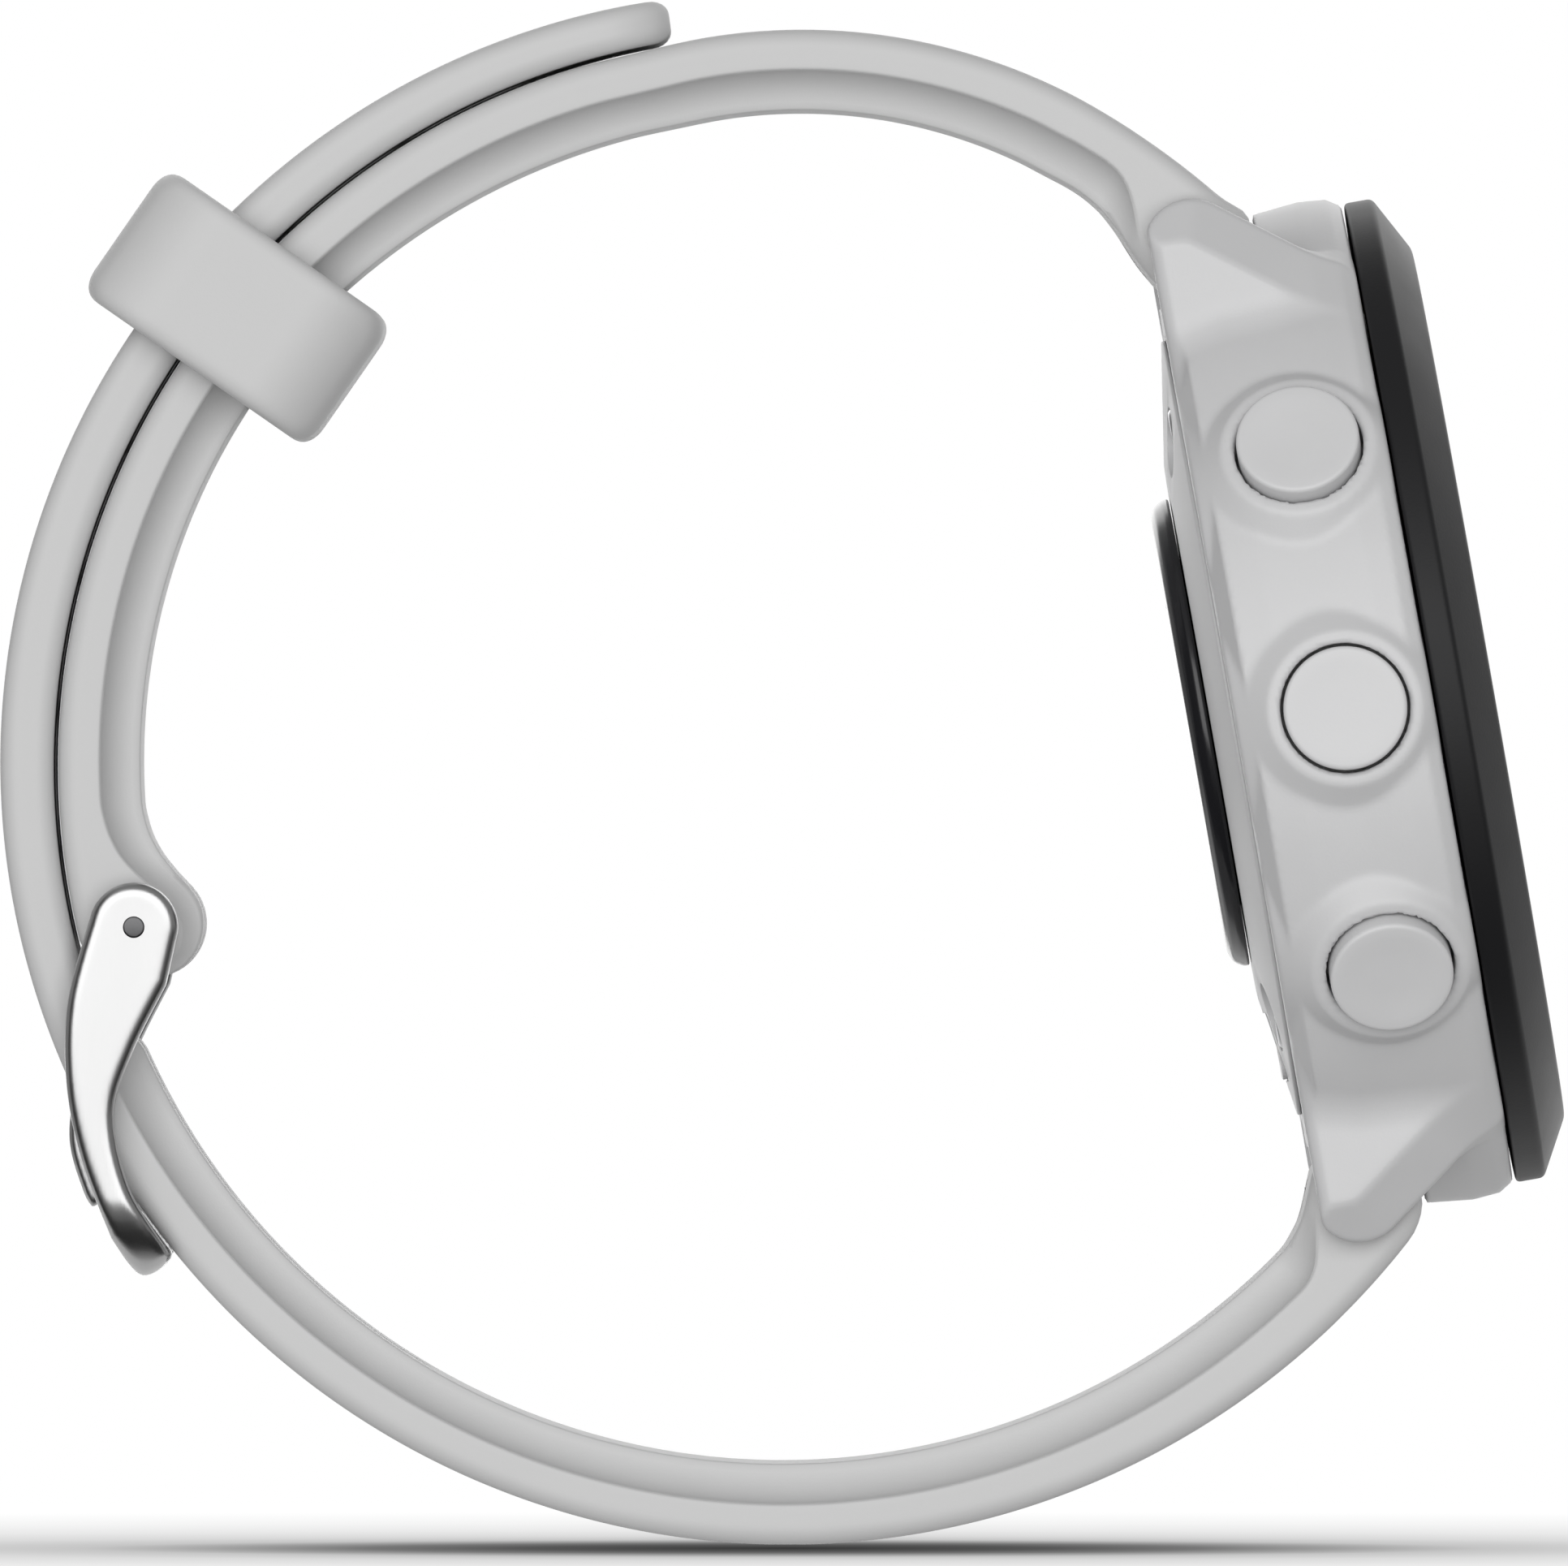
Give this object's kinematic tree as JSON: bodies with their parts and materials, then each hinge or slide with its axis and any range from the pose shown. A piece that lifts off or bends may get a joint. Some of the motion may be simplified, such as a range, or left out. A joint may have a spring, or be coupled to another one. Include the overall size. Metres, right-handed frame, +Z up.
{
  "type": "gps running watch",
  "caption": "Round running watch with side buttons, optical sensor, spring bars and a closed silicone strap with buckle and keeper.",
  "frame": {"origin": "centre of the object's footprint: the middle of its box in x and y, at the lowest point of the closed strap", "axes": "+Z up as the watch stands on its strap, +X towards the side of the display, +Y towards 3 o'clock"},
  "size_m": [0.066, 0.0438, 0.065],
  "materials": {
    "case_polymer": "fibre-reinforced polymer, moulded, fine satin grain",
    "button_polymer": "moulded polymer, fine satin grain",
    "bezel_polymer": "black polymer, satin",
    "lens_glass": "toughened glass, polished, near-black when the display is off",
    "display": "round transflective display, dark when off",
    "seal_rubber": "black silicone rubber",
    "inner_plastic": "dark grey moulded polymer",
    "antenna_gold": "gold-plated",
    "circuit_board": "green solder mask",
    "shield_tin": "tinned steel sheet",
    "battery_foil": "laminated foil pouch",
    "motor_steel": "drawn steel can",
    "component_black": "black moulded resin",
    "clip_steel": "spring steel",
    "screw_steel": "stainless steel",
    "sensor_black": "black polymer, semi-gloss",
    "sensor_glass": "tinted optical window",
    "led_green": "clear encapsulated green emitter",
    "photodiode_black": "dark filtered silicon",
    "strap_silicone": "light grey silicone, matte, soft sheen",
    "buckle_steel": "stainless steel, fine satin with polished edges",
    "bar_steel": "stainless steel"
  },
  "bodies": {
    "watch_case": {"case_body": "case_polymer", "back_cover": "case_polymer", "charging_port": "case_polymer", "bezel_ring": "bezel_polymer", "display_lens": "lens_glass", "display_panel": "display", "lens_gasket": "seal_rubber", "back_gasket": "seal_rubber", "light_button_seal": "seal_rubber", "up_button_seal": "seal_rubber", "down_button_seal": "seal_rubber", "start_button_seal": "seal_rubber", "back_button_seal": "seal_rubber", "midframe": "inner_plastic", "gps_antenna": "antenna_gold", "charging_contact_1": "antenna_gold", "charging_contact_2": "antenna_gold", "charging_contact_3": "antenna_gold", "charging_contact_4": "antenna_gold", "main_board": "circuit_board", "sensor_board": "circuit_board", "processor_shield": "shield_tin", "battery": "battery_foil", "vibration_motor": "motor_steel", "buzzer": "component_black", "light_button_switch": "component_black", "up_button_switch": "component_black", "down_button_switch": "component_black", "start_button_switch": "component_black", "back_button_switch": "component_black", "back_screw_1": "screw_steel", "back_screw_2": "screw_steel", "back_screw_3": "screw_steel", "back_screw_4": "screw_steel", "sensor_housing": "sensor_black", "sensor_window": "sensor_glass", "sensor_led_upper": "led_green", "sensor_led_lower": "led_green", "photodiode": "photodiode_black"},
    "light_key": {"light_button": "button_polymer", "light_button_clip": "clip_steel"},
    "up_key": {"up_button": "button_polymer", "up_button_clip": "clip_steel"},
    "down_key": {"down_button": "button_polymer", "down_button_clip": "clip_steel"},
    "start_key": {"start_button": "button_polymer", "start_button_clip": "clip_steel"},
    "back_key": {"back_button": "button_polymer", "back_button_clip": "clip_steel"},
    "buckle_side_strap": {"buckle_strap": "strap_silicone", "upper_spring_bar": "bar_steel"},
    "tail_side_strap": {"tail_strap": "strap_silicone", "lower_spring_bar": "bar_steel"},
    "upper_release": {"upper_release_pin": "bar_steel"},
    "lower_release": {"lower_release_pin": "bar_steel"},
    "keeper": {"keeper_loop": "strap_silicone"},
    "buckle": {"buckle_frame": "buckle_steel", "buckle_pin": "bar_steel"},
    "tongue": {"buckle_tongue": "buckle_steel"}
  },
  "joints": [
    {"name": "light_press", "type": "slide", "parent": "watch_case", "child": "light_key", "axis": [0.0894, 0.8572, -0.5072], "range_m": [0, 0.0005], "stiffness_N_per_m": 3000, "springref_m": -0.0004},
    {"name": "up_press", "type": "slide", "parent": "watch_case", "child": "up_key", "axis": [0, 1, 0], "range_m": [0, 0.0005], "stiffness_N_per_m": 3000, "springref_m": -0.0004},
    {"name": "down_press", "type": "slide", "parent": "watch_case", "child": "down_key", "axis": [-0.0894, 0.8572, 0.5072], "range_m": [0, 0.0005], "stiffness_N_per_m": 3000, "springref_m": -0.0004},
    {"name": "start_press", "type": "slide", "parent": "watch_case", "child": "start_key", "axis": [0.0894, -0.8572, -0.5072], "range_m": [0, 0.0005], "stiffness_N_per_m": 3000, "springref_m": -0.0004},
    {"name": "back_press", "type": "slide", "parent": "watch_case", "child": "back_key", "axis": [-0.0894, -0.8572, 0.5072], "range_m": [0, 0.0005], "stiffness_N_per_m": 3000, "springref_m": -0.0004},
    {"name": "buckle_strap_turn", "type": "hinge", "parent": "watch_case", "child": "buckle_side_strap", "pos_m": [0.01719, 0, 0.05462], "axis": [0, 1, 0], "range_deg": [-0.1, 0.1]},
    {"name": "tail_strap_turn", "type": "hinge", "parent": "watch_case", "child": "tail_side_strap", "pos_m": [0.02421, 0, 0.01484], "axis": [0, 1, 0], "range_deg": [-0.1, 0.1]},
    {"name": "upper_release_slide", "type": "slide", "parent": "buckle_side_strap", "child": "upper_release", "axis": [0, -1, 0], "range_m": [0, 0.0013], "stiffness_N_per_m": 1500, "springref_m": -0.0008},
    {"name": "lower_release_slide", "type": "slide", "parent": "tail_side_strap", "child": "lower_release", "axis": [0, -1, 0], "range_m": [0, 0.0013], "stiffness_N_per_m": 1500, "springref_m": -0.0008},
    {"name": "keeper_slide", "type": "hinge", "parent": "buckle_side_strap", "child": "keeper", "pos_m": [-0.0003, 0, 0.033], "axis": [0, 1, 0], "range_deg": [-8, 8]},
    {"name": "buckle_turn", "type": "hinge", "parent": "buckle_side_strap", "child": "buckle", "pos_m": [-0.02738, 0, 0.02602], "axis": [0, 1, 0], "range_deg": [0, 4.5]},
    {"name": "tongue_turn", "type": "hinge", "parent": "buckle", "child": "tongue", "pos_m": [-0.02738, 0, 0.02602], "axis": [0, 1, 0], "range_deg": [0, 4.5]}
  ]
}
